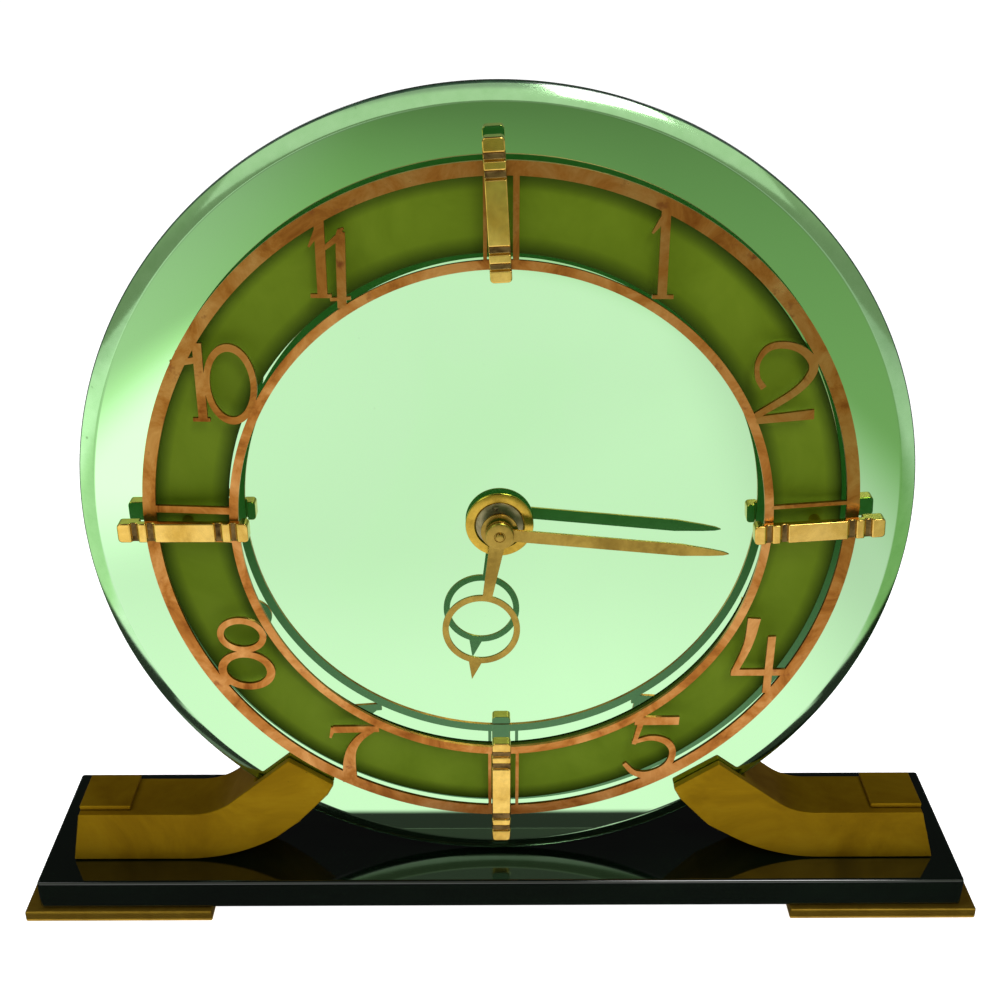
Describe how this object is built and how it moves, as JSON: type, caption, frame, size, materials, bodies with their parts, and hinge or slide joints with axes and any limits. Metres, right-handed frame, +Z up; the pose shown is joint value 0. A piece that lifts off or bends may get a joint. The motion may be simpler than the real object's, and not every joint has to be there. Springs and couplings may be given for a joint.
{
  "type": "mantel clock",
  "caption": "Wind-up mantel clock: round bevelled mirror dial on brass brackets and a black slab, with an openwork chapter ring and two turning hands.",
  "frame": {"origin": "centre of the footprint, at the underside of the two foot plates", "axes": "+Z up, the dial faces -Y, +X to the right seen from the front"},
  "size_m": [0.281, 0.0584, 0.2344],
  "materials": {
    "steel": "satin",
    "movement_brass": "satin",
    "polished_brass": "polished",
    "hand_brass": "satin",
    "antique_brass": "aged satin",
    "foot_brass": "aged satin",
    "blued_steel": "blued",
    "black_slab": "gloss",
    "green_mirror": "polished",
    "board": "matte",
    "olive_band": "satin",
    "copper": "aged satin copper",
    "grey_brass": "satin"
  },
  "bodies": {
    "clock_frame": {"base_slab": "black_slab", "foot_plate_left": "foot_brass", "foot_plate_right": "foot_brass", "bracket_bolt_1": "steel", "bracket_bolt_2": "steel", "bracket_bolt_3": "steel", "bracket_bolt_4": "steel", "bracket_left": "antique_brass", "bracket_right": "antique_brass", "bracket_pad_left": "antique_brass", "bracket_pad_right": "antique_brass", "mirror_disc": "green_mirror", "backing_board": "board", "dial_band": "olive_band", "chapter_ring": "copper", "clamp_12": "polished_brass", "clamp_3": "polished_brass", "clamp_6": "polished_brass", "clamp_9": "polished_brass", "clamp_nut_12": "steel", "clamp_nut_3": "steel", "clamp_nut_6": "steel", "clamp_nut_9": "steel", "escutcheon_ring": "polished_brass", "centre_bush": "grey_brass", "movement_case": "movement_brass", "back_cover": "movement_brass", "cover_screw_1": "steel", "cover_screw_2": "steel", "cover_screw_3": "steel", "front_plate": "movement_brass", "back_plate": "movement_brass", "pillar_1": "movement_brass", "pillar_2": "movement_brass", "pillar_3": "movement_brass", "click_spring": "blued_steel", "hairspring": "blued_steel"},
    "hands_arbor": {"centre_arbor": "steel", "cannon_pinion": "steel", "minute_hand": "hand_brass", "hand_nut": "hand_brass", "hand_set_knob": "polished_brass"},
    "hour_group": {"hour_wheel": "movement_brass", "hour_hand": "hand_brass"},
    "minute_wheel_body": {"minute_wheel": "movement_brass"},
    "centre_wheel_body": {"centre_wheel": "movement_brass"},
    "barrel_body": {"mainspring_barrel": "movement_brass", "mainspring": "blued_steel"},
    "winding_group": {"barrel_arbor": "steel", "ratchet_wheel": "steel", "winding_key": "polished_brass"},
    "third_wheel_body": {"third_wheel": "movement_brass"},
    "fourth_wheel_body": {"fourth_wheel": "movement_brass"},
    "escape_wheel_body": {"escape_wheel": "steel"},
    "pallet_body": {"pallet_lever": "steel"},
    "balance_body": {"balance_wheel": "movement_brass"},
    "click_body": {"click": "steel"},
    "regulator_body": {"regulator_lever": "steel"}
  },
  "joints": [
    {"name": "minute_hand_turn", "type": "hinge", "parent": "clock_frame", "child": "hands_arbor", "pos_m": [-0.00055, -0.02175, 0.1234], "axis": [0, 1, 0], "continuous": true},
    {"name": "hour_hand_turn", "type": "hinge", "parent": "clock_frame", "child": "hour_group", "pos_m": [-0.00055, -0.01975, 0.1234], "axis": [0, 1, 0], "continuous": true},
    {"name": "minute_wheel_turn", "type": "hinge", "parent": "clock_frame", "child": "minute_wheel_body", "pos_m": [0.00785, -0.00375, 0.1234], "axis": [0, 1, 0], "continuous": true},
    {"name": "fourth_wheel_turn", "type": "hinge", "parent": "clock_frame", "child": "fourth_wheel_body", "pos_m": [-0.00013, 0.00985, 0.14034], "axis": [0, 1, 0], "continuous": true},
    {"name": "third_wheel_turn", "type": "hinge", "parent": "clock_frame", "child": "third_wheel_body", "pos_m": [0.00455, 0.00695, 0.13223], "axis": [0, 1, 0], "continuous": true},
    {"name": "centre_wheel_turn", "type": "hinge", "parent": "clock_frame", "child": "centre_wheel_body", "pos_m": [-0.00055, 0.00025, 0.1234], "axis": [0, 1, 0], "continuous": true},
    {"name": "barrel_turn", "type": "hinge", "parent": "clock_frame", "child": "barrel_body", "pos_m": [-0.01267, 0.00525, 0.1164], "axis": [0, 1, 0], "continuous": true},
    {"name": "escape_wheel_turn", "type": "hinge", "parent": "clock_frame", "child": "escape_wheel_body", "pos_m": [-0.0076, 0.00625, 0.14298], "axis": [0, 1, 0], "continuous": true},
    {"name": "pallet_rock", "type": "hinge", "parent": "clock_frame", "child": "pallet_body", "pos_m": [-0.0147, 0.00625, 0.14048], "axis": [0, 1, 0], "range_deg": [-4, 4]},
    {"name": "balance_swing", "type": "hinge", "parent": "clock_frame", "child": "balance_body", "pos_m": [-0.0201, 0.00925, 0.13587], "axis": [0, 1, 0], "range_deg": [-135, 135], "stiffness_Nm_per_rad": 0.00001},
    {"name": "winding_turn", "type": "hinge", "parent": "clock_frame", "child": "winding_group", "pos_m": [-0.01267, 0.02525, 0.1164], "axis": [0, -1, 0], "range_deg": [0, 1800]},
    {"name": "click_lift", "type": "hinge", "parent": "clock_frame", "child": "click_body", "pos_m": [-0.00343, 0.01525, 0.11209], "axis": [0, 1, 0], "range_deg": [0, 10]},
    {"name": "regulator_swing", "type": "hinge", "parent": "clock_frame", "child": "regulator_body", "pos_m": [-0.0201, 0.01525, 0.13587], "axis": [0, 1, 0], "range_deg": [-15, 15]}
  ],
  "couplings": [
    {"joint": "hour_hand_turn", "follows": "minute_hand_turn", "ratio": 0.083333},
    {"joint": "minute_wheel_turn", "follows": "minute_hand_turn", "ratio": -0.33333},
    {"joint": "third_wheel_turn", "follows": "fourth_wheel_turn", "ratio": -0.125},
    {"joint": "centre_wheel_turn", "follows": "fourth_wheel_turn", "ratio": 0.016667},
    {"joint": "barrel_turn", "follows": "fourth_wheel_turn", "ratio": -0.0027778},
    {"joint": "escape_wheel_turn", "follows": "fourth_wheel_turn", "ratio": -8}
  ]
}
